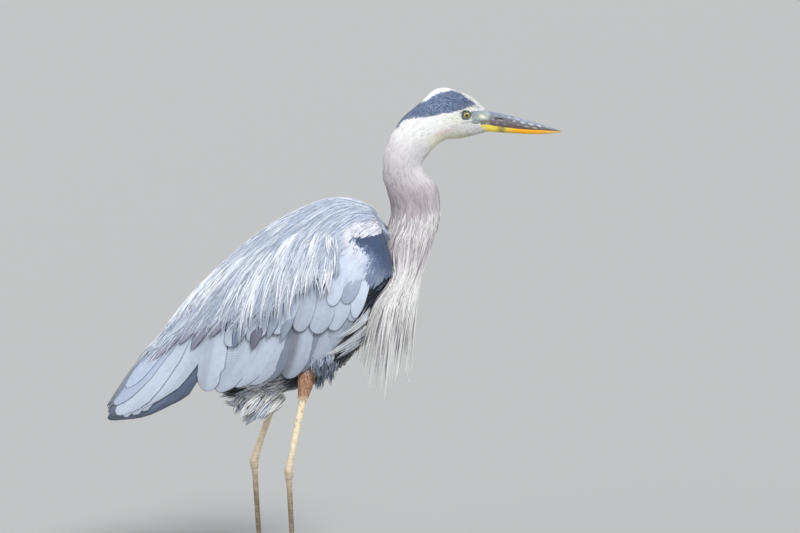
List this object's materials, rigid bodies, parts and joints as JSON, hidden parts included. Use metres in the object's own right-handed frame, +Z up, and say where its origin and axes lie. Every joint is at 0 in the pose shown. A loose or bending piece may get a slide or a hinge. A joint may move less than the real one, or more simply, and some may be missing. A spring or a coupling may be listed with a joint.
{
  "type": "great blue heron",
  "caption": "Life-size great blue heron standing still with folded wings, its neck drawn back in a bend, its bill level, with hanging breast and back plumes.",
  "frame": {"origin": "on the floor under the middle of the bird, at the bottom centre of its bounding box; the soles of the feet are on z = 0", "axes": "+X from tail to bill, the way the bird faces; +Y to the bird's left; +Z up"},
  "size_m": [0.666, 0.1794, 0.7453],
  "materials": {
    "head_feathers": "matt, white with a blue-black stripe over each eye",
    "neck_feathers": "matt, pale pinkish grey, fine and hair-like",
    "breast_plumes": "matt, whitish, long and pointed",
    "body_feathers": "matt, slate with pale streaks below",
    "mantle_feathers": "matt, blue-grey with fine pale streaks",
    "scapular_plumes": "matt, pale grey, long and pointed",
    "covert_feathers": "matt, pale grey behind a slate shoulder",
    "secondary_feathers": "matt, blue-grey with pale shafts",
    "primary_feathers": "matt, slate",
    "tail_feathers": "matt, blue-grey, paler at the edge",
    "thigh_feathers": "matt, rusty",
    "vent_feathers": "matt, whitish and loose",
    "leg_skin": "scaly skin with a faint sheen",
    "claw_horn": "dark horn, satin",
    "bill_upper_horn": "horn, satin, dark along the ridge and the mouth line",
    "bill_lower_horn": "horn, satin, orange-yellow with a dark tip",
    "eye": "wet gloss, yellow iris round a black pupil"
  },
  "bodies": {
    "root": {"bill_lower": "bill_lower_horn", "bill_upper": "bill_upper_horn", "breast_plumes": "breast_plumes", "claw_hind_left": "claw_horn", "claw_hind_right": "claw_horn", "claw_inner_left": "claw_horn", "claw_inner_right": "claw_horn", "claw_middle_left": "claw_horn", "claw_middle_right": "claw_horn", "claw_outer_left": "claw_horn", "claw_outer_right": "claw_horn", "eye_left": "eye", "eye_right": "eye", "foot_left": "leg_skin", "foot_right": "leg_skin", "head": "head_feathers", "mantle": "mantle_feathers", "neck_lower": "neck_feathers", "neck_middle": "neck_feathers", "neck_upper": "neck_feathers", "scapular_plumes_left": "scapular_plumes", "scapular_plumes_right": "scapular_plumes", "shank_left": "leg_skin", "shank_right": "leg_skin", "tail": "tail_feathers", "tarsus_left": "leg_skin", "tarsus_right": "leg_skin", "thigh_left": "thigh_feathers", "thigh_right": "thigh_feathers", "toe_hind_left": "leg_skin", "toe_hind_right": "leg_skin", "toe_inner_left": "leg_skin", "toe_inner_right": "leg_skin", "toe_middle_left": "leg_skin", "toe_middle_right": "leg_skin", "toe_outer_left": "leg_skin", "toe_outer_right": "leg_skin", "trunk": "body_feathers", "vent": "vent_feathers", "wing_coverts_left": "covert_feathers", "wing_coverts_right": "covert_feathers", "wing_primaries_left": "primary_feathers", "wing_primaries_right": "primary_feathers", "wing_secondaries_left": "secondary_feathers", "wing_secondaries_right": "secondary_feathers"}
  },
  "joints": []
}
